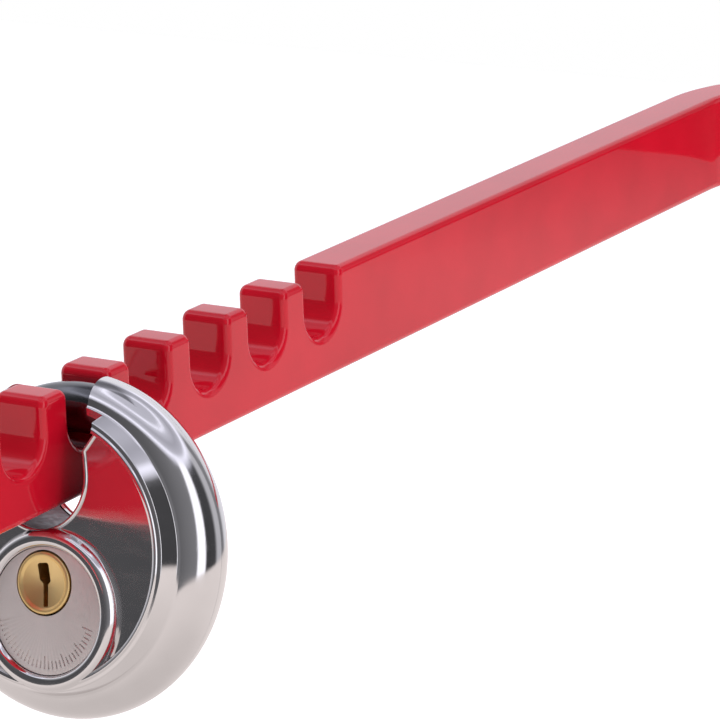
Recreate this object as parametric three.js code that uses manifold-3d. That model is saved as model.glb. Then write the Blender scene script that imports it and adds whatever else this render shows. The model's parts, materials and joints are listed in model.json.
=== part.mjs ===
// Notched wheel-lock bar with a round disc padlock closed through one of its notches.
// Millimetres, +Z up. The origin lies on the bar's underside, below the far wall of the first notch.
// The bar climbs towards +X and is bent flatwise towards -Y at its far end; the padlock hangs plumb.
import * as THREE from 'three';
import { mergeVertices } from 'three/addons/utils/BufferGeometryUtils.js';
import Module from 'manifold-3d';

const wasm = await Module();
wasm.setup();

const DEG = Math.PI / 180;
const GAP = 0.3;                 // air kept between neighbouring pieces

// ---- driving dimensions: bar ----
const BAR_WIDTH = 10.8;          // across, along Y, with its coat
const BAR_HEIGHT = 21.2;
const EDGE_RADIUS = 1.5;
const PITCH = 20;                // notch to notch
const NOTCH_WIDTH = 12;
const NOTCH_DEPTH = 12.6;
const NOTCH_COUNT = 8;
const END_BLOCK = 15;            // plain metal beyond the last notch
const SHANK_LENGTH = 163;        // plain bar from the first notch to the bend
const BEND_INNER_RADIUS = 27;
const BEND_ANGLE = 90 * DEG;
const LEG_LENGTH = 112;          // straight leg beyond the bend
const BAR_CLIMB = 12.1 * DEG;    // slope of the bar

// ---- driving dimensions: padlock, in its own frame ----
// The disc's axis is X and its front faces -X. U points up through the throat, V towards the rear left.
const LOCK_CENTRE = [-90.6, -4.0, BAR_HEIGHT - 30];   // in the level bar's frame
const LOCK_ROLL = 10 * DEG;      // the lock leans sideways, because it hangs off centre
const DISC_RADIUS = 31.4;
const RIM_RADIUS = 7;            // round of the rim, half its thickness
const WALL = 1.3;
const FLOOR_LEVEL = 9;           // recessed face, in front of the middle plane
const CREST_LEVEL = 10.9;        // raised ring round the recess
const CREST_RADIUS = 24.7;
const CREASE_RADIUS = 26.6;
const THROAT_HALF = 9.8;
const THROAT_CENTRE = 13.25;     // centre of the throat's round bottom
const THROAT_SIDE = 0.3;         // the throat stands a little towards +V
// the throat widens at the raised ring
const FLARE = { start: 17, end: 20.5, top: 26.5, half: 13.1, level: 7 };
const LINER_THICKNESS = 1.2;
const LINER_TOP = 16.6;

const BOSS_DROP = 10.9;          // boss centre below the disc centre
const BOSS_RADIUS = 14.8;
const BOSS_BORE = 11.6;
const PLATE_FRONT = 10.4;
const PLATE_THICKNESS = 1.2;
const GUARD_FRONT = 8.9;
const GUARD_THICKNESS = 1.3;

const SHACKLE_RADIUS = 25;       // centre line
const SHACKLE_ROD = 4.6;
const SHACKLE_TIP = 36 * DEG;    // angles run from the throat towards +V
const SHACKLE_TAIL = -160 * DEG;
const CLOSING_BLOCK = [40 * DEG, 134 * DEG];
const CORE_RADIUS = 19.7;
const CORE_HALF = 7.3;
const REAR_CORE_FLOOR = -1;

const PLUG_DROP = 5.9;           // plug axis below the disc centre
const PLUG_RADIUS = 5.6;
const PLUG_FRONT = -10.8;
const HOUSING_REAR = 2.9;
const HOUSING_RADIUS = 7.7;
const BIBLE_HALF = 3.4;
const BIBLE_BOTTOM = -18.9;
const PIN_RADIUS = 0.7;
const PIN_FIRST = -6.1;
const PIN_PITCH = 2.6;
const KEY_PIN_LENGTHS = [3.4, 2.7, 3.8, 3.1];
const DRIVER_PIN_LENGTH = 2.8;
const SPRING_LENGTH = 2.5;

const LUG = { front: 3.2, rear: 4.6, inner: 11.8, fork: 17.4, half: 17 * DEG, angle: -149.5 * DEG };
const CAM = { front: 4.9, rear: 6.1, hub: 3.4, throw: 9, pin: 1.1 };
const CAM_ANGLE = -50 * DEG;     // crank pin from straight down, towards -V
const TENON = 3;                 // square tail of the plug
const SCREW = { head: 2.3, shank: 0.9, front: 3.6, seat: 6.4, rear: 7.3 };

// ---- helpers ----
const SHEET_TO_DISC = new THREE.Matrix4().makeBasis(
  new THREE.Vector3(0, 1, 0), new THREE.Vector3(0, 0, 1), new THREE.Vector3(1, 0, 0));

function solid(geometry) {
  const bare = new THREE.BufferGeometry();
  bare.setAttribute('position', geometry.getAttribute('position').clone());
  if (geometry.index) bare.setIndex(geometry.index.clone());
  const welded = mergeVertices(bare, 1e-4);
  return new wasm.Manifold(new wasm.Mesh({
    numProp: 3,
    vertProperties: new Float32Array(welded.getAttribute('position').array),
    triVerts: new Uint32Array(welded.index.array),
  }));
}

function surface(body) {
  const mesh = body.getMesh();
  const geometry = new THREE.BufferGeometry();
  geometry.setAttribute('position', new THREE.BufferAttribute(new Float32Array(mesh.vertProperties), 3));
  geometry.setIndex(new THREE.BufferAttribute(new Uint32Array(mesh.triVerts), 1));
  geometry.computeVertexNormals();
  return geometry;
}

// Outline in the disc's plane (V, U), extruded along the disc's axis from x0 to x1.
function slab(shape, x0, x1, curveSegments = 12) {
  const geometry = new THREE.ExtrudeGeometry(shape, { depth: x1 - x0, bevelEnabled: false, curveSegments });
  geometry.applyMatrix4(SHEET_TO_DISC);
  geometry.translate(x0, 0, 0);
  return solid(geometry);
}

// Round bar along the disc's axis.
function round(radius, x0, x1, v = 0, u = 0, sides = 32) {
  const geometry = new THREE.CylinderGeometry(radius, radius, x1 - x0, sides);
  geometry.rotateZ(-Math.PI / 2);
  geometry.translate((x0 + x1) / 2, v, u);
  return solid(geometry);
}

function block(x0, x1, v0, v1, u0, u1) {
  const geometry = new THREE.BoxGeometry(x1 - x0, v1 - v0, u1 - u0);
  geometry.translate((x0 + x1) / 2, (v0 + v1) / 2, (u0 + u1) / 2);
  return solid(geometry);
}

// Profile of [radius, level] points turned about the disc's axis; level grows towards +X.
function turned(profile, sides, v = 0, u = 0) {
  const points = profile.map(([radius, level]) => new THREE.Vector2(radius, level));
  const geometry = new THREE.LatheGeometry(points, sides);
  geometry.rotateZ(-Math.PI / 2);
  geometry.translate(0, v, u);
  return solid(geometry);
}

function upright(radius, u0, u1, x, sides = 12) {
  const geometry = new THREE.CylinderGeometry(radius, radius, u1 - u0, sides);
  geometry.rotateX(Math.PI / 2);
  geometry.translate(x, 0, (u0 + u1) / 2);
  return solid(geometry);
}

// Ring sector between two angles measured from U towards V.
function sectorShape(inner, outer, from, to) {
  const a0 = Math.PI / 2 - to;
  const a1 = Math.PI / 2 - from;
  const shape = new THREE.Shape();
  shape.absarc(0, 0, outer, a0, a1, false);
  shape.absarc(0, 0, inner, a1, a0, true);
  shape.closePath();
  return shape;
}

// The throat: parallel sides with a round bottom, open upwards to the given height.
function throatShape(half, top) {
  const shape = new THREE.Shape();
  shape.moveTo(THROAT_SIDE + half, top);
  shape.lineTo(THROAT_SIDE - half, top);
  shape.lineTo(THROAT_SIDE - half, THROAT_CENTRE);
  shape.absarc(THROAT_SIDE, THROAT_CENTRE, half, Math.PI, 2 * Math.PI, false);
  shape.closePath();
  return shape;
}

class DiscArc extends THREE.Curve {
  constructor(radius, from, to) {
    super();
    Object.assign(this, { radius, from, to });
  }

  getPoint(t, target = new THREE.Vector3()) {
    const angle = this.from + (this.to - this.from) * t;
    return target.set(0, this.radius * Math.sin(angle), this.radius * Math.cos(angle));
  }
}

function bentRod(radius, rod, from, to, sides, steps) {
  const section = new THREE.Shape();
  section.absarc(0, 0, rod, 0, 2 * Math.PI, false);
  return solid(new THREE.ExtrudeGeometry(section, {
    extrudePath: new DiscArc(radius, from, to), steps, curveSegments: sides, bevelEnabled: false,
  }));
}

// ---- bar ----
// Axis of the bar: straight, a quarter turn towards -Y, then the leg. One step per straight stretch.
const BEND_STEPS = 14;

class BarAxis extends THREE.Curve {
  getPoint(t, target = new THREE.Vector3()) {
    const near = END_BLOCK + (NOTCH_COUNT - 1) * PITCH + NOTCH_WIDTH;
    const radius = BEND_INNER_RADIUS + BAR_WIDTH / 2;
    const step = t * (BEND_STEPS + 2);
    if (step <= 1) return target.set(-near + (near + SHANK_LENGTH) * step, 0, 0);
    const angle = BEND_ANGLE * Math.min((step - 1) / BEND_STEPS, 1);
    const leg = LEG_LENGTH * Math.max(step - 1 - BEND_STEPS, 0);
    const x = SHANK_LENGTH + radius * Math.sin(angle) + leg * Math.cos(angle);
    const y = -radius * (1 - Math.cos(angle)) - leg * Math.sin(angle);
    return target.set(x, y, 0);
  }

  getPointAt(t, target) {
    return this.getPoint(t, target);
  }

  getTangentAt(t, target = new THREE.Vector3()) {
    const step = t * (BEND_STEPS + 2);
    const angle = BEND_ANGLE * Math.min(Math.max((step - 1) / BEND_STEPS, 0), 1);
    return target.set(Math.cos(angle), -Math.sin(angle), 0);
  }
}

function barSection() {
  const halfWidth = BAR_WIDTH / 2;
  const halfHeight = BAR_HEIGHT / 2;
  const r = EDGE_RADIUS;
  const shape = new THREE.Shape();
  shape.absarc(halfHeight - r, halfWidth - r, r, 0, Math.PI / 2, false);
  shape.absarc(-halfHeight + r, halfWidth - r, r, Math.PI / 2, Math.PI, false);
  shape.absarc(-halfHeight + r, -halfWidth + r, r, Math.PI, 1.5 * Math.PI, false);
  shape.absarc(halfHeight - r, -halfWidth + r, r, 1.5 * Math.PI, 2 * Math.PI, false);
  shape.closePath();
  return shape;
}

// A notch open upwards with a half-round bottom, cut right across the bar.
function notchCutter(index) {
  const r = NOTCH_WIDTH / 2;
  const x = -index * PITCH - r;
  const bottom = BAR_HEIGHT - NOTCH_DEPTH + r;
  const above = BAR_HEIGHT + 5;
  const shape = new THREE.Shape();
  shape.moveTo(x + r, above);
  shape.lineTo(x - r, above);
  shape.lineTo(x - r, bottom);
  shape.absarc(x, bottom, r, Math.PI, 2 * Math.PI, false);
  shape.closePath();
  const geometry = new THREE.ExtrudeGeometry(shape, {
    depth: 2 * BAR_WIDTH, bevelEnabled: false, curveSegments: 12,
  });
  geometry.rotateX(Math.PI / 2);
  geometry.translate(0, BAR_WIDTH, 0);
  return solid(geometry);
}

function notchedBar() {
  const geometry = new THREE.ExtrudeGeometry(barSection(), {
    extrudePath: new BarAxis(), steps: BEND_STEPS + 2, curveSegments: 3, bevelEnabled: false,
  });
  geometry.translate(0, 0, BAR_HEIGHT / 2);
  let bar = solid(geometry);
  for (let index = 0; index < NOTCH_COUNT; index += 1) bar = bar.subtract(notchCutter(index));
  return bar;
}

// ---- padlock shells ----
const SHELL_SIDES = 48;

function rimArc(minor, from, to, count) {
  const centre = DISC_RADIUS - RIM_RADIUS;
  const points = [];
  for (let i = 0; i <= count; i += 1) {
    const angle = from + (to - from) * i / count;
    points.push([centre + minor * Math.cos(angle), minor * Math.sin(angle)]);
  }
  return points;
}

// Rear half of the case: recessed floor, raised ring, round rim, and the hollow behind them.
function shellHalf() {
  const seam = GAP / 2;
  const inner = RIM_RADIUS - WALL;
  const ceiling = FLOOR_LEVEL - 1.4;
  return turned([
    [0, FLOOR_LEVEL], [CREST_RADIUS - 1.3, FLOOR_LEVEL],
    [CREST_RADIUS - 0.7, CREST_LEVEL - 0.4], [CREST_RADIUS, CREST_LEVEL],
    [CREST_RADIUS + 0.7, CREST_LEVEL - 0.6],
    ...rimArc(RIM_RADIUS, 70 * DEG, Math.asin(seam / RIM_RADIUS), 5),
    ...rimArc(inner, Math.asin(seam / inner), 70 * DEG, 4),
    [CREST_RADIUS - 0.4, FLOOR_LEVEL], [CREST_RADIUS - 1.2, FLOOR_LEVEL],
    [CREST_RADIUS - 2, ceiling], [0, ceiling],
  ].reverse(), SHELL_SIDES).subtract(slab(flareShape(), FLARE.level, 2 * FLARE.level));
}

function flareShape() {
  const shape = new THREE.Shape();
  shape.setFromPoints([
    [-THROAT_HALF, FLARE.start], [THROAT_HALF, FLARE.start], [FLARE.half, FLARE.end],
    [FLARE.half, FLARE.top], [-FLARE.half, FLARE.top], [-FLARE.half, FLARE.end],
  ].map(([v, u]) => new THREE.Vector2(THROAT_SIDE + v, u)));
  shape.closePath();
  return shape;
}

function throatCut() {
  return slab(throatShape(THROAT_HALF, 2 * DISC_RADIUS), -20, 20, 16);
}

// Everything that may stand proud of the floor lies inside this cone-sided drum.
function drum() {
  return turned([
    [0, 0], [CREASE_RADIUS, 0], [CREASE_RADIUS, RIM_RADIUS - 0.5], [CREST_RADIUS + 0.6, 12], [0, 12],
  ], SHELL_SIDES);
}

function bossRing() {
  const base = FLOOR_LEVEL - 1.3;
  return turned([
    [BOSS_BORE, base], [BOSS_RADIUS, base], [BOSS_RADIUS, FLOOR_LEVEL], [BOSS_RADIUS - 0.7, 10.7],
    [BOSS_RADIUS - 1.7, 11.3], [BOSS_RADIUS - 2.7, 11.1], [BOSS_BORE, 10.6], [BOSS_BORE, base],
  ], 48, 0, -BOSS_DROP);
}

function frontShell() {
  const facingRear = shellHalf()
    .add(bossRing().intersect(drum()))
    .subtract(round(BOSS_BORE, FLOOR_LEVEL - 4, 20, 0, -BOSS_DROP, 48));
  return facingRear.mirror([1, 0, 0]).subtract(throatCut());
}

function rearShell() {
  return shellHalf().subtract(throatCut());
}

function throatLiner() {
  const clearThroat = THROAT_HALF + 0.1;
  return slab(throatShape(clearThroat + LINER_THICKNESS, LINER_TOP), -CORE_HALF, CORE_HALF, 16)
    .subtract(slab(throatShape(clearThroat, 2 * DISC_RADIUS), -20, 20, 16));
}

// ---- padlock core and lock cylinder ----
function housingOutline(grow) {
  const bible = block(-CORE_HALF - grow, HOUSING_REAR + grow,
    -BIBLE_HALF - grow, BIBLE_HALF + grow, BIBLE_BOTTOM - grow, -PLUG_DROP);
  return round(HOUSING_RADIUS + grow, -CORE_HALF - grow, HOUSING_REAR + grow, 0, -PLUG_DROP, 36).add(bible);
}

function coreBlock() {
  const clearLiner = THROAT_HALF + 0.1 + LINER_THICKNESS + GAP;
  const front = round(CORE_RADIUS, -CORE_HALF, HOUSING_REAR - 0.2, 0, 0, 48);
  const rear = round(CORE_RADIUS, 0, CORE_HALF, 0, 0, 48)
    .intersect(block(-1, 10, -25, 25, REAR_CORE_FLOOR, 25));
  return front.add(rear)
    .subtract(slab(throatShape(clearLiner, 2 * DISC_RADIUS), -20, 20, 16))
    .subtract(housingOutline(GAP));
}

function closingBlock() {
  return bentRod(SHACKLE_RADIUS, SHACKLE_ROD, CLOSING_BLOCK[0], CLOSING_BLOCK[1], 6, 14);
}

function plateWithHole(radius, v, u, front, thickness) {
  return round(radius, -front, -front + thickness, v, u, 48)
    .subtract(round(PLUG_RADIUS + GAP, -20, 20, 0, -PLUG_DROP, 36));
}

function pinPlaces() {
  return KEY_PIN_LENGTHS.map((length, index) => ({ length, index, x: PIN_FIRST + PIN_PITCH * index }));
}

const SHEAR_LINE = -PLUG_DROP - PLUG_RADIUS;

function pinChambers(top) {
  return pinPlaces().map(({ x }) => upright(PIN_RADIUS + GAP, BIBLE_BOTTOM - 1, top, x, 12));
}

const COVER = { half: 1.7, top: -17.8, bottom: -18.6 };

function cylinderHousing() {
  let body = housingOutline(0).subtract(round(PLUG_RADIUS + GAP, -20, 20, 0, -PLUG_DROP, 36));
  for (const chamber of pinChambers(SHEAR_LINE)) body = body.subtract(chamber);
  return body.subtract(block(-20, 20, -COVER.half - GAP, COVER.half + GAP, -30, COVER.top + GAP));
}

function springCover() {
  return block(-CORE_HALF + 0.2, HOUSING_REAR - 0.2, -COVER.half, COVER.half, COVER.bottom, COVER.top);
}

// Keyway: a wide head above a narrow blade slot, with one ward step.
function keywayShape() {
  const shape = new THREE.Shape();
  const outline = [
    [-1.2, 3.5], [1.2, 3.5], [1.2, 0.6], [0.55, 0.1],
    [0.55, -4.2], [-0.55, -4.2], [-0.55, -0.6], [-1.2, -0.1],
  ];
  shape.setFromPoints(outline.map(([v, u]) => new THREE.Vector2(v, u - PLUG_DROP)));
  shape.closePath();
  return shape;
}

function plug() {
  const tail = block(HOUSING_REAR - 0.5, CAM.rear, -TENON / 2, TENON / 2, -PLUG_DROP - TENON / 2,
    -PLUG_DROP + TENON / 2);
  let body = round(PLUG_RADIUS, PLUG_FRONT, HOUSING_REAR, 0, -PLUG_DROP, 36);
  body = body.subtract(slab(keywayShape(), -20, HOUSING_REAR - 0.9));
  const chamberTop = SHEAR_LINE + Math.max(...KEY_PIN_LENGTHS) + 0.8;
  for (const chamber of pinChambers(chamberTop)) body = body.subtract(chamber);
  return body.add(tail).subtract(round(SCREW.shank + GAP, SCREW.front - GAP, 20, 0, -PLUG_DROP, 12));
}

function keyPin({ x, length }) {
  return upright(PIN_RADIUS, SHEAR_LINE + 0.1, SHEAR_LINE + 0.1 + length, x);
}

function driverPin({ x }) {
  return upright(PIN_RADIUS, SHEAR_LINE - GAP - DRIVER_PIN_LENGTH, SHEAR_LINE - GAP, x);
}

class Coil extends THREE.Curve {
  constructor(radius, length, turns) {
    super();
    Object.assign(this, { radius, length, turns });
  }

  getPoint(t, target = new THREE.Vector3()) {
    const angle = 2 * Math.PI * this.turns * t;
    return target.set(this.radius * Math.cos(angle), this.radius * Math.sin(angle), this.length * t);
  }
}

function pinSpring({ x }) {
  const wire = 0.14;
  const top = SHEAR_LINE - 2 * GAP - DRIVER_PIN_LENGTH;
  const section = new THREE.Shape();
  section.absarc(0, 0, wire, 0, 2 * Math.PI, false);
  const geometry = new THREE.ExtrudeGeometry(section, {
    extrudePath: new Coil(PIN_RADIUS - wire, SPRING_LENGTH - 2 * wire, 4),
    steps: 26, curveSegments: 3, bevelEnabled: false,
  });
  geometry.translate(x, 0, top - SPRING_LENGTH + wire);
  return solid(geometry);
}

function tailCam() {
  const pinV = CAM.throw * Math.sin(CAM_ANGLE);
  const pinU = -PLUG_DROP - CAM.throw * Math.cos(CAM_ANGLE);
  const arm = new THREE.Shape();
  const side = new THREE.Vector2(Math.cos(CAM_ANGLE), Math.sin(CAM_ANGLE)).multiplyScalar(CAM.pin + 0.9);
  arm.moveTo(side.x, -PLUG_DROP + side.y);
  arm.lineTo(-side.x, -PLUG_DROP - side.y);
  arm.lineTo(pinV - side.x, pinU - side.y);
  arm.lineTo(pinV + side.x, pinU + side.y);
  arm.closePath();
  const hole = TENON / 2 + GAP;
  return slab(arm, CAM.front, CAM.rear)
    .add(round(CAM.hub, CAM.front, CAM.rear, 0, -PLUG_DROP, 24))
    .add(round(CAM.pin + 0.9, CAM.front, CAM.rear, pinV, pinU, 20))
    .add(round(CAM.pin, LUG.front, CAM.rear, pinV, pinU, 20))
    .subtract(block(0, 20, -hole, hole, -PLUG_DROP - hole, -PLUG_DROP + hole));
}

function camScrew() {
  return round(SCREW.head, SCREW.seat, SCREW.rear, 0, -PLUG_DROP, 20)
    .add(round(SCREW.shank, SCREW.front, SCREW.seat + 0.2, 0, -PLUG_DROP, 12))
    .subtract(block(SCREW.rear - 0.45, 20, -0.4, 0.4, -PLUG_DROP - 5, -PLUG_DROP + 5));
}

// ---- shackle ----
function shackle() {
  return bentRod(SHACKLE_RADIUS, SHACKLE_ROD, SHACKLE_TIP, SHACKLE_TAIL, 8, 32);
}

// Forked lug inside the shackle's tail; the cam's crank pin works in the fork.
function driveLug() {
  const outer = SHACKLE_RADIUS - SHACKLE_ROD - GAP;
  const forkHalf = CAM.pin + 0.4;
  const fork = new THREE.BoxGeometry(20, 2 * forkHalf, 10);
  fork.translate(0, 0, LUG.fork - 5);
  fork.rotateX(-LUG.angle);
  return slab(sectorShape(LUG.inner, outer, LUG.angle - LUG.half, LUG.angle + LUG.half), LUG.front, LUG.rear)
    .subtract(solid(fork));
}

// ---- assembly ----
const FINISH = {
  redPaint: { color: 0xb3101c, roughness: 0.28, metalness: 0 },
  stainless: { color: 0xc9c8c8, roughness: 0.18, metalness: 1 },
  mattePlate: { color: 0xaea9a5, roughness: 0.5, metalness: 1 },
  zinc: { color: 0x8d9094, roughness: 0.5, metalness: 1 },
  brass: { color: 0xb9924a, roughness: 0.3, metalness: 1 },
  springSteel: { color: 0x9aa0a6, roughness: 0.3, metalness: 1 },
};
const model = new THREE.Group();
const barFrame = new THREE.Group();
barFrame.rotation.y = -BAR_CLIMB;
model.add(barFrame);

const lockFrame = new THREE.Group();
lockFrame.position.set(...LOCK_CENTRE).applyAxisAngle(new THREE.Vector3(0, 1, 0), -BAR_CLIMB);
lockFrame.rotation.x = -LOCK_ROLL;
model.add(lockFrame);

function place(parent, name, finish, body) {
  const mesh = new THREE.Mesh(surface(body), new THREE.MeshStandardMaterial(FINISH[finish]));
  mesh.name = name;
  parent.add(mesh);
}

place(barFrame, 'notched_bar', 'redPaint', notchedBar());

place(lockFrame, 'front_shell', 'stainless', frontShell());
place(lockFrame, 'rear_shell', 'stainless', rearShell());
place(lockFrame, 'throat_liner', 'stainless', throatLiner());
place(lockFrame, 'core_block', 'zinc', coreBlock());
place(lockFrame, 'closing_block', 'zinc', closingBlock());
place(lockFrame, 'cylinder_face_plate', 'mattePlate',
  plateWithHole(BOSS_BORE - GAP, 0, -BOSS_DROP, PLATE_FRONT, PLATE_THICKNESS));
place(lockFrame, 'anti_drill_disc', 'springSteel',
  plateWithHole(BOSS_BORE - GAP, 0, -BOSS_DROP, GUARD_FRONT, GUARD_THICKNESS));
place(lockFrame, 'cylinder_housing', 'brass', cylinderHousing());
place(lockFrame, 'spring_cover', 'brass', springCover());
place(lockFrame, 'plug', 'brass', plug());
for (const pin of pinPlaces()) {
  place(lockFrame, `key_pin_${pin.index + 1}`, 'brass', keyPin(pin));
  place(lockFrame, `driver_pin_${pin.index + 1}`, 'springSteel', driverPin(pin));
  place(lockFrame, `pin_spring_${pin.index + 1}`, 'springSteel', pinSpring(pin));
}
place(lockFrame, 'tail_cam', 'springSteel', tailCam());
place(lockFrame, 'cam_screw', 'springSteel', camScrew());
place(lockFrame, 'shackle', 'stainless', shackle());
place(lockFrame, 'shackle_drive_lug', 'springSteel', driveLug());

export default model;
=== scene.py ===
"""Looks for the notched wheel-lock bar and its disc padlock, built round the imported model.

Lengths are in millimetres until a mesh is made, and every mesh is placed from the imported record.
"""
import json
import math

import bmesh
import bpy
from mathutils import Matrix, Vector


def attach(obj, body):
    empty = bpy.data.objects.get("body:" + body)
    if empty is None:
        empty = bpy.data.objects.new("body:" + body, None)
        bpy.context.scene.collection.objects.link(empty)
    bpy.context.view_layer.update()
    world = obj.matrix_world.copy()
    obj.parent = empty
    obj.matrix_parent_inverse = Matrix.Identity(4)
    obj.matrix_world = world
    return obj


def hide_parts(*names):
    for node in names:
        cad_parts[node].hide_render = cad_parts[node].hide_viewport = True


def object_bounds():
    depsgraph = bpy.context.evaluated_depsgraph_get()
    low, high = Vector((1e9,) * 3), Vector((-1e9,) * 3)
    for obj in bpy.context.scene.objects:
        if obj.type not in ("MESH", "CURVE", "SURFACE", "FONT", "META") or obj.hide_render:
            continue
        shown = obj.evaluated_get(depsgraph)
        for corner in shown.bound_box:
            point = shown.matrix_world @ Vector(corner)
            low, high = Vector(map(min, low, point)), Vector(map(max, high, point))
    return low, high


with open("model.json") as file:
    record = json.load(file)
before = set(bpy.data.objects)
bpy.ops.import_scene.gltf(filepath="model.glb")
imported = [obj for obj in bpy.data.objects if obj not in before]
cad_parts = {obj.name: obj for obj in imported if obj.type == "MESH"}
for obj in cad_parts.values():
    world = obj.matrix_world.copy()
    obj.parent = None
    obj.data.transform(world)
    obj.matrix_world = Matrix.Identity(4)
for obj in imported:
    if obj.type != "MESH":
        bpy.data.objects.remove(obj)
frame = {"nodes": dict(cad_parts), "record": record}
cad_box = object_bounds()

MM = 0.001
DEG = math.pi / 180

# ---- bar ----
BAR_WIDTH = 10.8
BAR_HEIGHT = 21.2
PITCH = 20.0
NOTCH_WIDTH = 12.0
NOTCH_DEPTH = 12.6
NOTCH_COUNT = 8
END_BLOCK = 15.0
SHANK_LENGTH = 163.0
BEND_RADIUS = 27.0 + BAR_WIDTH / 2      # to the middle of the bar
BEND_LENGTH = BEND_RADIUS * math.pi / 2
LEG_LENGTH = 112.0
EDGE_ROUND = 1.5                        # coated long edges
TOOTH_ROUND = 1.9                       # coated tooth corners, seen from the side
END_ROUND = 2.0
STRAIGHT_MARGIN = 6.0                   # bend divisions carry on this far past the bend
BEND_DIVISIONS = 44

# ---- padlock ----
DISC_RADIUS = 31.34
RIM_RADIUS = 7.0
WALL = 1.3
FLOOR = 9.0
SEAM = 0.02
THROAT_HALF = 9.8
THROAT_CENTRE = 13.25
THROAT_SIDE = 0.3
FLARE_START, FLARE_END, FLARE_TOP = 17.0, 20.5, 26.5    # the throat widens at the raised ring
FLARE_HALF = 13.1
FLARE_INNER, FLARE_OUTER = 7.0, 14.0    # levels it is cut between
LIP_RADIUS = 0.42
LIP_SETBACK = 0.22                      # the lip's middle from the throat's edge
CREST = 24.7                            # top of the raised ring round the recess
BOSS_DROP = 10.9
BOSS_BORE = 11.6
BOSS_RADIUS = 14.9
PLATE_LEVEL = 10.4
PLUG_RADIUS = 5.6
PLUG_LEVEL = 10.8
SHACKLE_RADIUS = 25.0
SHACKLE_ROD = 4.6
SHACKLE_FROM = 36 * DEG
SHACKLE_TO = -160 * DEG
TURN_STEPS = 192                        # facets round the case
BOSS_STEPS = 144
CUT_REACH = 20.0                        # how far a cut goes past the case along its axis
CUT_TOP = 60.0                          # and past its rim


# ---------------------------------------------------------------- places
def record_places():
    """The bar's and the padlock's own frames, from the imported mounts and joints."""
    record = frame["record"]
    joints = {joint["name"]: joint for joint in record["behaviour"]["joints"]}
    mounts = {mount["name"]: mount for mount in record["mounts"]}
    underside = mounts["bar_underside"]
    climb = math.asin(underside["axis"][0])
    bar = Matrix.Translation(underside["pos_m"]) @ Matrix.Rotation(-climb, 4, "Y")
    disc = Vector(joints["shackle_turn"]["pos_m"])
    plug = Vector(joints["key_turn"]["pos_m"])
    axis = Vector((1, 0, 0))
    up = (disc - plug).normalized()
    side = up.cross(axis)
    turn = Matrix((axis, side, up)).transposed().to_4x4()
    return bar, Matrix.Translation(disc) @ turn, (plug - disc).length / MM


BAR_PLACE, LOCK_PLACE, PLUG_DROP = record_places()


# ---------------------------------------------------------------- mesh tools
def fillet_path(corners, closed=False, step=12 * DEG):
    """Rounds the corners of a path. A corner is (a, b, radius); a radius of 0 keeps it sharp."""
    path = []
    count = len(corners)
    for index, (a, b, radius) in enumerate(corners):
        here = Vector((a, b))
        if radius == 0 or (not closed and index in (0, count - 1)):
            path.append(here)
            continue
        before = Vector(corners[index - 1][:2]) - here
        after = Vector(corners[(index + 1) % count][:2]) - here
        inward, outward = before.normalized(), after.normalized()
        half = inward.angle(outward) / 2
        reach = radius / math.tan(half)
        centre = here + (inward + outward).normalized() * (radius / math.sin(half))
        start = here + inward * reach - centre
        sweep = start.angle_signed(here + outward * reach - centre)
        parts = max(2, math.ceil(abs(sweep) / step))
        for part in range(parts + 1):
            angle = -sweep * part / parts
            cos, sin = math.cos(angle), math.sin(angle)
            path.append(centre + Vector((start.x * cos - start.y * sin, start.x * sin + start.y * cos)))
    return path


def make_object(name, verts, faces):
    """A mesh in millimetres, in the frame of the bar or of the padlock."""
    mesh = bpy.data.meshes.new(name)
    mesh.from_pydata(verts, [], faces)
    obj = bpy.data.objects.new(name, mesh)
    bpy.context.scene.collection.objects.link(obj)
    tidy_normals(obj)
    return obj


def tidy_normals(obj):
    bm = bmesh.new()
    bm.from_mesh(obj.data)
    bmesh.ops.remove_doubles(bm, verts=bm.verts, dist=1e-4)
    bmesh.ops.recalc_face_normals(bm, faces=bm.faces)
    bm.to_mesh(obj.data)
    bm.free()


def boolean(obj, tool, operation):
    modifier = obj.modifiers.new("boolean", "BOOLEAN")
    modifier.operation = operation
    modifier.solver = "MANIFOLD"
    modifier.object = tool
    graph = bpy.context.evaluated_depsgraph_get()
    result = bpy.data.meshes.new_from_object(obj.evaluated_get(graph))
    obj.modifiers.clear()
    obj.data = result
    bpy.data.objects.remove(tool)
    return obj


def settle(obj, place, sharp=35 * DEG):
    """Moves a finished mesh from its own frame to the world, in metres."""
    obj.data.transform(place @ Matrix.Scale(MM, 4))
    for polygon in obj.data.polygons:
        polygon.use_smooth = True
    obj.data.set_sharp_from_angle(angle=sharp)
    return obj


def weighted(obj):
    modifier = obj.modifiers.new("flat faces stay flat", "WEIGHTED_NORMAL")
    modifier.keep_sharp = True
    modifier.weight = 80


def turned(name, profile, steps=TURN_STEPS, u=0.0):
    """Turns a profile of (radius, level) about the padlock's axis; level grows towards the front."""
    verts, rings = [], []
    for radius, level in profile:
        if radius < 1e-6:
            rings.append([len(verts)])
            verts.append((-level, 0, u))
            continue
        rings.append([len(verts) + k for k in range(steps)])
        for k in range(steps):
            angle = 2 * math.pi * k / steps
            verts.append((-level, radius * math.sin(angle), u + radius * math.cos(angle)))
    faces = []
    for ring, following in zip(rings, rings[1:] + rings[:1]):
        faces += ring_faces(ring, following)
    return make_object(name, verts, faces)


def ring_faces(ring, following):
    count = max(len(ring), len(following))
    if count == 1:
        return []
    faces = []
    for k in range(count):
        nxt = (k + 1) % count
        corners = [ring[k % len(ring)], ring[nxt % len(ring)],
                   following[nxt % len(following)], following[k % len(following)]]
        faces.append(list(dict.fromkeys(corners)))
    return faces


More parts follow.
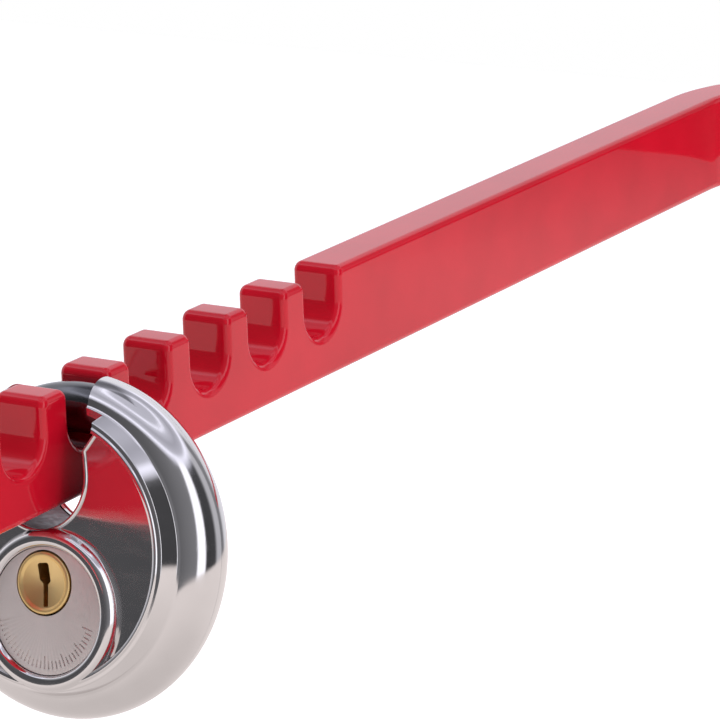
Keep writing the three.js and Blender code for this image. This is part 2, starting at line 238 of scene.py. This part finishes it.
def prism(name, outline, x0, x1):
    """Extrudes an outline of (v, u) points along the padlock's axis."""
    count = len(outline)
    verts = [(x0, a, b) for a, b in outline] + [(x1, a, b) for a, b in outline]
    faces = [list(range(count)), list(range(count, 2 * count))]
    faces += [[k, (k + 1) % count, count + (k + 1) % count, count + k] for k in range(count)]
    return make_object(name, verts, faces)


def swept(name, places, section):
    """Sweeps a section of (a, b) points along places given as (point, a axis, b axis)."""
    verts, rings = [], []
    for point, a_axis, b_axis in places:
        rings.append([len(verts) + k for k in range(len(section))])
        verts += [tuple(Vector(point) + a * a_axis + b * b_axis) for a, b in section]
    faces = []
    for ring, following in zip(rings, rings[1:]):
        faces += ring_faces(ring, following)
    faces += [rings[0], rings[-1]]
    return make_object(name, verts, faces)


# ---------------------------------------------------------------- bar
def bend(s, y, z):
    """Places a point of the straightened bar on the bent one."""
    if s <= SHANK_LENGTH:
        return s, y, z
    angle = min((s - SHANK_LENGTH) / BEND_RADIUS, math.pi / 2)
    leg = max(s - SHANK_LENGTH - BEND_LENGTH, 0)
    radius = BEND_RADIUS + y
    return SHANK_LENGTH + radius * math.sin(angle), radius * math.cos(angle) - BEND_RADIUS - leg, z


def bar_stations():
    """Places along the bend where the side faces need a division."""
    first = SHANK_LENGTH - STRAIGHT_MARGIN
    last = SHANK_LENGTH + BEND_LENGTH + STRAIGHT_MARGIN
    return [first + (last - first) * k / BEND_DIVISIONS for k in range(BEND_DIVISIONS + 1)]


def notched_top():
    """Corners of the top edge from the far end to the near end."""
    corners = []
    radius = NOTCH_WIDTH / 2
    arc_steps = 14
    for index in range(NOTCH_COUNT):
        far = -index * PITCH
        near = far - NOTCH_WIDTH
        bottom = BAR_HEIGHT - NOTCH_DEPTH + radius
        corners.append((far, BAR_HEIGHT, TOOTH_ROUND))
        for k in range(arc_steps + 1):
            angle = -math.pi * k / arc_steps
            corners.append((far - radius + radius * math.cos(angle), bottom + radius * math.sin(angle), 0))
        corners.append((near, BAR_HEIGHT, TOOTH_ROUND))
    return corners


def bar_outline():
    """The bar's side outline, straightened, and the places of its stations in it."""
    near = -(END_BLOCK + (NOTCH_COUNT - 1) * PITCH + NOTCH_WIDTH)
    far = SHANK_LENGTH + BEND_LENGTH + LEG_LENGTH
    stations = bar_stations()
    corners = [(near, 0, END_ROUND)] + [(s, 0, 0) for s in stations] + [(far, 0, END_ROUND)]
    corners += [(far, BAR_HEIGHT, END_ROUND)] + [(s, BAR_HEIGHT, 0) for s in reversed(stations)]
    corners += notched_top() + [(near, BAR_HEIGHT, END_ROUND)]
    outline = fillet_path(corners, closed=True, step=15 * DEG)
    near_bend = [k for k, p in enumerate(outline) if stations[0] - 0.1 < p.x < stations[-1] + 0.1]
    low = [k for k in near_bend if abs(outline[k].y) < 1e-6]
    high = [k for k in near_bend if abs(outline[k].y - BAR_HEIGHT) < 1e-6]
    return outline, low, high[::-1]


def inward_normals(outline):
    normals = []
    count = len(outline)
    for k, here in enumerate(outline):
        before = (here - outline[k - 1]).normalized()
        after = (outline[(k + 1) % count] - here).normalized()
        left = Vector((-before.y - after.y, before.x + after.x)) / 2
        normals.append(left / max(left.length_squared, 0.2))
    return normals


def build_bar():
    outline, low, high = bar_outline()
    normals = inward_normals(outline)
    half = BAR_WIDTH / 2 - EDGE_ROUND
    edge_steps = 6
    rings = []
    for k in range(edge_steps + 1):
        angle = math.pi / 2 * (1 - k / edge_steps)
        rings.append((half + EDGE_ROUND * math.sin(angle), EDGE_ROUND * (1 - math.cos(angle))))
    rings += [(-y, inset) for y, inset in reversed(rings)]
    verts = []
    for y, inset in rings:
        for point, normal in zip(outline, normals):
            s, z = point + normal * inset
            verts.append(bend(s, y, z))
    count = len(outline)
    faces = []
    for ring in range(len(rings) - 1):
        base, following = ring * count, (ring + 1) * count
        faces += [[base + k, base + (k + 1) % count, following + (k + 1) % count, following + k]
                  for k in range(count)]
    for base in (0, (len(rings) - 1) * count):
        for k in range(len(low) - 1):
            faces.append([base + low[k], base + low[k + 1], base + high[k + 1], base + high[k]])
        leg = list(range(low[-1], high[-1] + 1))
        rest = list(range(high[0], count)) + list(range(0, low[0] + 1))
        faces += [[base + k for k in leg], [base + k for k in rest]]
    bar = settle(make_object("red_bar", verts, faces), BAR_PLACE, sharp=60 * DEG)
    weighted(bar)
    return bar


# ---------------------------------------------------------------- padlock case
def rim_points(minor, from_angle, to_angle, count):
    centre = DISC_RADIUS - RIM_RADIUS
    points = []
    for k in range(count + 1):
        angle = from_angle + (to_angle - from_angle) * k / count
        points.append(Vector((centre + minor * math.cos(angle), minor * math.sin(angle))))
    return points


def shell_profile():
    """Outer face from the middle to the seam, then the hollow back to the middle."""
    crease = 68 * DEG
    outer = rim_points(RIM_RADIUS, crease, math.asin(SEAM / RIM_RADIUS), 26)
    face = fillet_path([
        (0, FLOOR, 0), (CREST - 1.25, FLOOR, 0.45), (CREST - 1.0, 10.75, 0.3), (CREST - 0.25, 10.95, 0.35),
        (CREST + 0.05, 10.55, 0.2), (CREST + 0.75, 10.45, 0.35), (CREST + 1.75, 6.85, 0.3),
        (outer[0].x - 0.05, outer[0].y + 0.02, 0),
    ], step=15 * DEG)
    minor = RIM_RADIUS - WALL
    inner = rim_points(minor, math.asin(SEAM / minor), 70 * DEG, 12)
    hollow = fillet_path([
        (inner[-1].x - 0.4, 5.45, 0), (CREST - 0.5, 9.2, 0.5), (CREST - 1.5, 9.2, 0.4),
        (CREST - 2.2, FLOOR - WALL, 0.5), (0, FLOOR - WALL, 0),
    ], step=30 * DEG)
    return face + outer + inner + hollow


def throat_cutter():
    steps = 40
    outline = [(THROAT_SIDE + THROAT_HALF, CUT_TOP), (THROAT_SIDE - THROAT_HALF, CUT_TOP)]
    for k in range(steps + 1):
        angle = math.pi + math.pi * k / steps
        outline.append((THROAT_SIDE + THROAT_HALF * math.cos(angle),
                        THROAT_CENTRE + THROAT_HALF * math.sin(angle)))
    return prism("throat", outline, -CUT_REACH, CUT_REACH)


def flare(x0, x1):
    """Widens the throat's mouth where it cuts the raised ring."""
    outline = [(THROAT_SIDE + v, u) for v, u in (
        (-THROAT_HALF, FLARE_START), (THROAT_HALF, FLARE_START), (FLARE_HALF, FLARE_END),
        (FLARE_HALF, FLARE_TOP), (-FLARE_HALF, FLARE_TOP), (-FLARE_HALF, FLARE_END))]
    return prism("flare", outline, x0, x1)


def boss_ring():
    base = FLOOR - 0.6
    profile = fillet_path([
        (BOSS_BORE, base, 0), (BOSS_RADIUS, base, 0), (BOSS_RADIUS - 0.15, 9.9, 0.9),
        (BOSS_RADIUS - 1.0, 11.35, 1.3), (BOSS_BORE + 0.5, 11.35, 0.9), (BOSS_BORE, 10.6, 0.3),
        (BOSS_BORE, base, 0),
    ], step=10 * DEG)
    return turned("boss_ring", profile[:-1], BOSS_STEPS, -BOSS_DROP)


def drum():
    """What may stand proud of the case near its rim: everything inside the raised ring's cone."""
    profile = fillet_path([
        (0, 2, 0), (CREST + 1.5, 2, 0), (CREST + 1.5, 6.95, 0), (CREST + 0.55, 10.6, 0),
        (CREST + 0.1, 11.6, 0.5), (CREST - 1.0, 12.5, 0), (0, 12.5, 0),
    ], step=15 * DEG)
    return turned("drum", profile)


def build_front_shell():
    shell = turned("front_case", shell_profile())
    ring = boolean(boss_ring(), drum(), "INTERSECT")
    shell = boolean(shell, ring, "UNION")
    bore = turned("bore", [(0, 6), (BOSS_BORE, 6), (BOSS_BORE, 10.2), (0, 10.2)], BOSS_STEPS, -BOSS_DROP)
    shell = boolean(shell, bore, "DIFFERENCE")
    shell = boolean(shell, flare(-FLARE_OUTER, -FLARE_INNER), "DIFFERENCE")
    return boolean(shell, throat_cutter(), "DIFFERENCE")


def build_rear_shell():
    profile = [Vector((p.x, -p.y)) for p in shell_profile()]
    shell = boolean(turned("rear_case", profile), flare(FLARE_INNER, FLARE_OUTER), "DIFFERENCE")
    return boolean(shell, throat_cutter(), "DIFFERENCE")


def build_throat_lip(name, level):
    """Rolled edge of the throat and its flare on the flat face."""
    around = [a * 30 * DEG for a in range(12)]
    section = [(LIP_RADIUS * math.cos(angle), LIP_RADIUS * math.sin(angle)) for angle in around]
    half = THROAT_HALF + LIP_SETBACK
    arc_steps, side_steps = 48, 6
    side = []
    for k in range(side_steps, -1, -1):
        part = k / side_steps
        side.append((half + (FLARE_HALF - THROAT_HALF) * part,
                     FLARE_START + (FLARE_END - FLARE_START) * part))
    arc = []
    for k in range(arc_steps + 1):
        angle = -math.pi * k / arc_steps
        arc.append((half * math.cos(angle), THROAT_CENTRE + half * math.sin(angle)))
    route = [Vector(p) for p in side + arc + [(-v, u) for v, u in reversed(side)]]
    axis = Vector((1, 0, 0))
    places = []
    for k, (v, u) in enumerate(route):
        along = (route[min(k + 1, len(route) - 1)] - route[max(k - 1, 0)]).normalized()
        places.append((Vector((-level, THROAT_SIDE + v, u)), axis, Vector((0, -along.y, along.x))))
    return swept(name, places, section)


# ---------------------------------------------------------------- cylinder, plate, shackle
def build_plate():
    outer = BOSS_BORE - 0.1
    hole = PLUG_RADIUS + 0.3
    thickness = 1.2
    profile = fillet_path([(0, PLATE_LEVEL - thickness, 0), (outer, PLATE_LEVEL - thickness, 0),
                           (outer, PLATE_LEVEL, 0.15), (0, PLATE_LEVEL, 0)], step=30 * DEG)
    plate = turned("face_plate", profile, BOSS_STEPS, -BOSS_DROP)
    below, above = PLATE_LEVEL - 2.4, PLATE_LEVEL + 1.6
    cut = fillet_path([
        (0, below, 0), (hole, below, 0), (hole, PLATE_LEVEL - 0.2, 0), (hole + 0.35, above, 0), (0, above, 0),
    ])
    plate = boolean(plate, turned("plug_hole", cut, 96, -PLUG_DROP), "DIFFERENCE")
    return boolean(plate, tick_cutter(), "DIFFERENCE")


def tick_cutter():
    """A plain graduation in an arc round the plate's lower edge, long strokes among short ones."""
    verts, faces = [], []
    count, outer, depth, half = 31, 10.4, 0.22, 0.14
    for k in range(count):
        angle = (112 + 150 * k / (count - 1)) * DEG
        length = 2.3 if k % 5 == 0 else 1.4
        radial = Vector((0, -math.sin(angle), math.cos(angle)))
        across = Vector((0, math.cos(angle), math.sin(angle)))
        centre = Vector((0, 0, -BOSS_DROP))
        base = len(verts)
        for x in (-PLATE_LEVEL + depth, -PLATE_LEVEL - 1):
            for r, w in ((outer - length, -half), (outer, -half), (outer, half), (outer - length, half)):
                verts.append(tuple(centre + radial * r + across * w + Vector((x, 0, 0))))
        quads = [(0, 1, 2, 3), (4, 5, 6, 7), (0, 1, 5, 4), (1, 2, 6, 5), (2, 3, 7, 6), (3, 0, 4, 7)]
        faces += [[base + c for c in quad] for quad in quads]
    return make_object("ticks", verts, faces)


def build_plug():
    rear = -6.1
    profile = fillet_path([
        (0, rear, 0), (1.5, rear, 0), (1.5, -2.9, 0), (PLUG_RADIUS - 0.05, -2.9, 0),
        (PLUG_RADIUS, PLUG_LEVEL, 0.35), (4.95, PLUG_LEVEL, 0.2), (4.5, PLUG_LEVEL - 0.35, 0.3),
        (1.0, PLUG_LEVEL - 0.85, 0.8), (0, PLUG_LEVEL - 0.85, 0),
    ], step=15 * DEG)
    body = turned("brass_plug", profile, 128, -PLUG_DROP)
    keyway = fillet_path([
        (-1.15, 3.6, 0.5), (-1.15, 0.2, 0.2), (-0.5, -0.4, 0.2), (-0.5, -4.3, 0.3), (0.5, -4.3, 0.3),
        (0.5, -0.1, 0.2), (1.15, 0.6, 0.2), (1.15, 3.6, 0.5),
    ], closed=True, step=20 * DEG)
    outline = [(v, u - PLUG_DROP) for v, u in keyway]
    return boolean(body, prism("keyway", outline, -14, 2), "DIFFERENCE")


def build_shackle():
    steps, sides, round_steps = 120, 48, 6
    chamfer = 1.1
    places = []
    arc = abs(SHACKLE_TO - SHACKLE_FROM) * SHACKLE_RADIUS
    stations = [(0, SHACKLE_ROD - chamfer)]
    for k in range(1, round_steps + 1):
        angle = math.pi / 2 * k / round_steps
        stations.append((chamfer * (1 - math.cos(angle)), SHACKLE_ROD - chamfer + chamfer * math.sin(angle)))
    stations += [(chamfer + (arc - 2 * chamfer) * k / steps, SHACKLE_ROD) for k in range(1, steps)]
    stations += [(arc - along, rod) for along, rod in reversed(stations[:round_steps + 1])]
    verts, rings = [], []
    for along, rod in stations:
        angle = SHACKLE_FROM - along / SHACKLE_RADIUS
        outward = Vector((0, math.sin(angle), math.cos(angle)))
        rings.append([len(verts) + k for k in range(sides)])
        for k in range(sides):
            turn = 2 * math.pi * k / sides
            point = outward * (SHACKLE_RADIUS + rod * math.cos(turn)) + Vector((rod * math.sin(turn), 0, 0))
            verts.append(tuple(point))
    faces = [rings[0], rings[-1]]
    for ring, following in zip(rings, rings[1:]):
        faces += ring_faces(ring, following)
    return make_object("shackle_rod", verts, faces)


# ---------------------------------------------------------------- materials
def shader(name):
    material = bpy.data.materials.new(name)
    material.use_nodes = True
    nodes = material.node_tree.nodes
    return material, nodes, material.node_tree.links, nodes["Principled BSDF"]


def surface_map(nodes, links, scale):
    place = nodes.new("ShaderNodeTexCoord")
    mapping = nodes.new("ShaderNodeMapping")
    mapping.inputs["Scale"].default_value = scale
    links.new(place.outputs["Object"], mapping.inputs["Vector"])
    return mapping.outputs["Vector"]


def noise(nodes, links, scale, detail=3.0, stretch=(1, 1, 1), roughness=0.5):
    texture = nodes.new("ShaderNodeTexNoise")
    texture.inputs["Scale"].default_value = scale
    texture.inputs["Detail"].default_value = detail
    texture.inputs["Roughness"].default_value = roughness
    links.new(surface_map(nodes, links, stretch), texture.inputs["Vector"])
    return texture.outputs["Fac"]


def remap(nodes, links, value, low, high, to_low, to_high):
    node = nodes.new("ShaderNodeMapRange")
    for socket, number in (("From Min", low), ("From Max", high), ("To Min", to_low), ("To Max", to_high)):
        node.inputs[socket].default_value = number
    links.new(value, node.inputs["Value"])
    return node.outputs["Result"]


def tint(nodes, links, factor, first, second):
    node = nodes.new("ShaderNodeMix")
    node.data_type = "RGBA"
    node.inputs["A"].default_value = (*first, 1)
    node.inputs["B"].default_value = (*second, 1)
    links.new(factor, node.inputs["Factor"])
    return node.outputs["Result"]


def bump(nodes, links, height, distance, strength=1.0, normal=None):
    node = nodes.new("ShaderNodeBump")
    node.inputs["Distance"].default_value = distance
    node.inputs["Strength"].default_value = strength
    links.new(height, node.inputs["Height"])
    if normal is not None:
        links.new(normal, node.inputs["Normal"])
    return node.outputs["Normal"]


def powder_coat():
    material, nodes, links, principled = shader("red_powder_coat")
    cloud = noise(nodes, links, 60, 2)
    links.new(tint(nodes, links, remap(nodes, links, cloud, 0.35, 0.65, 0, 1),
                   (0.53, 0.005, 0.018), (0.47, 0.004, 0.015)), principled.inputs["Base Color"])
    peel = noise(nodes, links, 700, 2)
    links.new(bump(nodes, links, peel, 0.00004, 0.35), principled.inputs["Normal"])
    links.new(remap(nodes, links, noise(nodes, links, 250, 4), 0.3, 0.7, 0.3, 0.42),
              principled.inputs["Roughness"])
    principled.inputs["Specular IOR Level"].default_value = 0.0
    principled.inputs["Coat Weight"].default_value = 1.0
    principled.inputs["Coat Roughness"].default_value = 0.06
    return material


def scratches(nodes, links, turn, density):
    """Thin straight marks in one direction, as a height from 0 to 1."""
    place = nodes.new("ShaderNodeTexCoord")
    mapping = nodes.new("ShaderNodeMapping")
    mapping.inputs["Rotation"].default_value = turn
    mapping.inputs["Scale"].default_value = (1, 14, 1)
    links.new(place.outputs["Object"], mapping.inputs["Vector"])
    texture = nodes.new("ShaderNodeTexNoise")
    texture.inputs["Scale"].default_value = density
    texture.inputs["Detail"].default_value = 1
    links.new(mapping.outputs["Vector"], texture.inputs["Vector"])
    return remap(nodes, links, texture.outputs["Fac"], 0.68, 0.76, 0, 1)


def polished_steel():
    material, nodes, links, principled = shader("polished_stainless")
    principled.inputs["Metallic"].default_value = 1
    grime = noise(nodes, links, 45, 4)
    links.new(tint(nodes, links, remap(nodes, links, grime, 0.35, 0.7, 0, 1),
                   (0.78, 0.765, 0.76), (0.70, 0.685, 0.68)), principled.inputs["Base Color"])
    smear = noise(nodes, links, 120, 3, (1, 1, 3))
    links.new(remap(nodes, links, smear, 0.35, 0.7, 0.07, 0.14), principled.inputs["Roughness"])
    fine = bump(nodes, links, noise(nodes, links, 1500, 2, (1, 5, 1)), 0.000002, 0.3)
    first = bump(nodes, links, scratches(nodes, links, (0.6, 0.2, 0.9), 300), 0.000003, 0.4, fine)
    second = bump(nodes, links, scratches(nodes, links, (-0.5, 0.7, 0.1), 260), 0.000003, 0.4, first)
    links.new(second, principled.inputs["Normal"])
    return material


def metal(name, light, dark, rough, grain, stretch=(1, 1, 1), depth=0.00002):
    material, nodes, links, principled = shader(name)
    principled.inputs["Metallic"].default_value = 1
    patch = noise(nodes, links, 90, 3)
    links.new(tint(nodes, links, remap(nodes, links, patch, 0.3, 0.7, 0, 1), light, dark),
              principled.inputs["Base Color"])
    texture = noise(nodes, links, grain, 3, stretch)
    links.new(remap(nodes, links, texture, 0.3, 0.7, rough * 0.8, rough * 1.25),
              principled.inputs["Roughness"])
    links.new(bump(nodes, links, texture, depth, 0.5), principled.inputs["Normal"])
    return material


RED = powder_coat()
STEEL = polished_steel()
SATIN = metal("satin_plate", (0.96, 0.915, 0.895), (0.88, 0.84, 0.82), 0.5, 2600, depth=0.00002)
# Painted reflection: the shackle's steel is coloured near black to stand in for the dark surroundings it
# reflects. Its own polished finish is much lighter.
SHACKLE_PAINTED_DARK = metal("shackle_painted_dark_reflection", (0.17, 0.172, 0.18), (0.13, 0.132, 0.14), 0.16, 1500, (8, 1, 1), 0.000006)
BRASS = metal("turned_brass", (0.98, 0.73, 0.34), (0.82, 0.57, 0.22), 0.4, 1800, (1, 5, 5), 0.00001)
ZINC = metal("zinc_casting", (0.42, 0.43, 0.44), (0.33, 0.34, 0.35), 0.5, 700, depth=0.00005)
HARD = metal("plated_steel", (0.48, 0.48, 0.5), (0.38, 0.38, 0.41), 0.3, 900, (3, 1, 1))
# The throat liner is drawn in dark grey metal instead of the finish its slot names.
DARK_LINER_METAL = metal("dark_grey_liner", (0.24, 0.24, 0.25), (0.16, 0.16, 0.17), 0.4, 800, (1, 1, 4))

SLOT_LOOKS = {
    "red_powder_coat": RED, "polished_stainless": STEEL, "satin_stainless": SATIN,
    "zinc_casting": ZINC, "hardened_steel": HARD, "brass": BRASS,
}


def dress_cad_nodes():
    slots = {row["node"]: row["material_slot"] for row in frame["record"]["subparts"]}
    for name, obj in frame["nodes"].items():
        obj.data.materials.clear()
        obj.data.materials.append(DARK_LINER_METAL if name == "throat_liner" else SLOT_LOOKS[slots[name]])


def lock_piece(piece, material, body, slot, *nodes):
    finish_piece(settle(piece, LOCK_PLACE), material, body, slot, *nodes)


def finish_piece(piece, material, body, slot, *nodes):
    piece.data.materials.clear()
    piece.data.materials.append(material)
    for polygon in piece.data.polygons:
        polygon.material_index = 0
    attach(piece, body)
    if nodes:
        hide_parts(*nodes)


def build_object():
    dress_cad_nodes()
    finish_piece(build_bar(), RED, "bar", "red_powder_coat", "notched_bar")
    lock_piece(build_front_shell(), STEEL, "padlock", "polished_stainless", "front_shell")
    lock_piece(build_rear_shell(), STEEL, "padlock", "polished_stainless", "rear_shell")
    lock_piece(build_throat_lip("front_throat_lip", FLOOR), STEEL, "padlock", "polished_stainless")
    lock_piece(build_throat_lip("rear_throat_lip", -FLOOR), STEEL, "padlock", "polished_stainless")
    lock_piece(build_plate(), SATIN, "padlock", "satin_stainless", "cylinder_face_plate")
    lock_piece(build_plug(), BRASS, "plug", "brass", "plug")
    # The shackle gets the near-black steel, which is a painted dark reflection.
    lock_piece(build_shackle(), SHACKLE_PAINTED_DARK, "shackle", "polished_stainless", "shackle")


# ---------------------------------------------------------------- studio
FLOOR_DROP = 0.05                       # floor below the padlock
FLOOR_REACH = 6.0
FLOOR_GLOW = 0.48                       # lifts the pale floor to white
VIEW_AZIMUTH = -59.6 * DEG
VIEW_ELEVATION = 5.5 * DEG
VIEW_ROLL = 4.43 * DEG
VIEW_DISTANCE = 0.852
VIEW_AIM = Vector((0.0160, 0, 0.0010))
LENS = 212.6


def build_camera():
    cos, sin = math.cos(VIEW_ELEVATION), math.sin(VIEW_ELEVATION)
    back = Vector((math.sin(VIEW_AZIMUTH) * cos, -math.cos(VIEW_AZIMUTH) * cos, sin))
    level = Vector((math.cos(VIEW_AZIMUTH), math.sin(VIEW_AZIMUTH), 0))
    right = Matrix.Rotation(VIEW_ROLL, 3, back) @ level
    up = back.cross(right)
    camera = bpy.data.objects.new("camera", bpy.data.cameras.new("camera"))
    camera.data.lens = LENS
    camera.data.sensor_width = 36
    camera.data.clip_end = 50
    camera.matrix_world = Matrix.Translation(VIEW_AIM + back * VIEW_DISTANCE) @ Matrix(
        (right, up, back)).transposed().to_4x4()
    bpy.context.scene.collection.objects.link(camera)
    bpy.context.scene.camera = camera


def build_floor():
    bottom = cad_box[0][2] - FLOOR_DROP
    corners = [(-1, -1), (1, -1), (1, 1), (-1, 1)]
    mesh = bpy.data.meshes.new("floor")
    mesh.from_pydata([(FLOOR_REACH * a, FLOOR_REACH * b, bottom) for a, b in corners], [], [(0, 1, 2, 3)])
    floor = bpy.data.objects.new("floor", mesh)
    bpy.context.scene.collection.objects.link(floor)
    material, nodes, links, principled = shader("pale_floor")
    links.new(tint(nodes, links, noise(nodes, links, 3, 2), (0.93, 0.93, 0.93), (0.95, 0.95, 0.95)),
              principled.inputs["Base Color"])
    principled.inputs["Roughness"].default_value = 0.9
    principled.inputs["Emission Color"].default_value = (1, 1, 1, 1)
    principled.inputs["Emission Strength"].default_value = FLOOR_GLOW
    mesh.materials.append(material)
    floor.visible_glossy = False


def soft_light(name, place, aim, size, power):
    data = bpy.data.lights.new(name, "AREA")
    data.shape = "RECTANGLE"
    data.size, data.size_y = size
    data.energy = power
    light = bpy.data.objects.new(name, data)
    light.location = place
    light.rotation_euler = (Vector(aim) - Vector(place)).to_track_quat("-Z", "Y").to_euler()
    light.visible_glossy = False
    bpy.context.scene.collection.objects.link(light)


# Brightness of the studio walls and ceiling against azimuth in degrees.
WALL_STOPS = [
    (-180, 0.13), (-150, 0.20), (-122, 0.25), (-117, 1.5), (-97, 1.5), (-92, 0.06), (-62, 0.07),
    (-52, 0.60), (-38, 0.60), (-34, 0.25), (-24, 0.25), (-14, 0.85), (18, 0.95), (36, 0.95), (60, 0.85),
    (105, 0.9), (125, 0.3), (140, 0.08), (180, 0.13),
]
WALL_TOP = (0.70, 0.78)                 # the walls fade into the ceiling, as a direction's height
HORIZON = (-0.14, -0.175)               # and into the floor, which tilts with HORIZON_TILT
HORIZON_TILT = -0.114
FLOOR_FADE = (-0.2, -0.9)               # the floor's reflection darkens downward
FLOOR_NEAR, FLOOR_DEEP = (0.96, 0.88, 0.87), (0.72, 0.66, 0.65)
CEILING_STOPS = [(-180, 1.25), (18, 1.2), (36, 0.4), (70, 0.45), (84, 1.35), (180, 1.25)]
# Brightness of the ceiling against how steeply a direction points up, from 0 to 1.
CEILING_BANDS = [
    (0.0, 1.0), (0.79, 1.0), (0.82, 0.5), (0.88, 0.38), (0.93, 0.55), (0.95, 1.0), (0.97, 0.5), (1.0, 0.5),
]


def azimuth_ramp(nodes, links, around, stops):
    return brightness_ramp(nodes, links, around, [((degrees + 180) / 360, value) for degrees, value in stops])


def brightness_ramp(nodes, links, factor, stops):
    ramp = nodes.new("ShaderNodeValToRGB")
    links.new(factor, ramp.inputs["Fac"])
    elements = ramp.color_ramp.elements
    while len(elements) > 1:
        elements.remove(elements[-1])
    for index, (position, value) in enumerate(stops):
        element = elements[0] if index == 0 else elements.new(position)
        element.position = position
        element.color = (value, value, value * 1.08, 1)
    return ramp.outputs["Color"]


def build_world():
    """White to the camera. Metal sees light and dark walls, a banded ceiling and a warm floor."""
    world = bpy.data.worlds.new("studio")
    world.use_nodes = True
    nodes, links = world.node_tree.nodes, world.node_tree.links
    background = nodes["Background"]
    direction = nodes.new("ShaderNodeTexCoord").outputs["Generated"]
    split = nodes.new("ShaderNodeSeparateXYZ")
    links.new(direction, split.inputs["Vector"])
    azimuth = nodes.new("ShaderNodeMath")
    azimuth.operation = "ARCTAN2"
    links.new(split.outputs["Y"], azimuth.inputs[0])
    links.new(split.outputs["X"], azimuth.inputs[1])
    around = remap(nodes, links, azimuth.outputs["Value"], -math.pi, math.pi, 0, 1)
    above = nodes.new("ShaderNodeMix")
    above.data_type = "RGBA"
    ceiling = nodes.new("ShaderNodeMix")
    ceiling.data_type = "RGBA"
    ceiling.blend_type = "MULTIPLY"
    ceiling.inputs["Factor"].default_value = 1
    links.new(azimuth_ramp(nodes, links, around, CEILING_STOPS), ceiling.inputs["A"])
    links.new(brightness_ramp(nodes, links, split.outputs["Z"], CEILING_BANDS), ceiling.inputs["B"])
    links.new(ceiling.outputs["Result"], above.inputs["B"])
    links.new(remap(nodes, links, split.outputs["Z"], *WALL_TOP, 0, 1), above.inputs["Factor"])
    links.new(azimuth_ramp(nodes, links, around, WALL_STOPS), above.inputs["A"])
    below = nodes.new("ShaderNodeMix")
    below.data_type = "RGBA"
    deep = remap(nodes, links, split.outputs["Z"], *FLOOR_FADE, 0, 1)
    links.new(tint(nodes, links, deep, FLOOR_NEAR, FLOOR_DEEP), below.inputs["B"])
    slope = nodes.new("ShaderNodeMath")
    slope.operation = "MULTIPLY_ADD"
    slope.inputs[1].default_value = HORIZON_TILT
    links.new(split.outputs["X"], slope.inputs[0])
    links.new(split.outputs["Z"], slope.inputs[2])
    links.new(remap(nodes, links, slope.outputs["Value"], *HORIZON, 0, 1), below.inputs["Factor"])
    links.new(above.outputs["Result"], below.inputs["A"])
    seen = nodes.new("ShaderNodeMix")
    seen.data_type = "RGBA"
    seen.inputs["B"].default_value = (1, 1, 1, 1)
    links.new(nodes.new("ShaderNodeLightPath").outputs["Is Camera Ray"], seen.inputs["Factor"])
    links.new(below.outputs["Result"], seen.inputs["A"])
    links.new(seen.outputs["Result"], background.inputs["Color"])
    background.inputs["Strength"].default_value = 1.0
    bpy.context.scene.world = world


def build_studio():
    build_camera()
    build_floor()
    build_world()
    soft_light("overhead", (-0.35, 0.1, 0.9), (-0.05, 0, 0), (0.7, 0.7), 3.8)
    soft_light("front_fill", (-0.1, -1.0, 0.4), (-0.02, 0, 0), (0.8, 0.6), 3.8)
    bpy.context.scene.view_settings.view_transform = "Standard"


build_studio()
build_object()
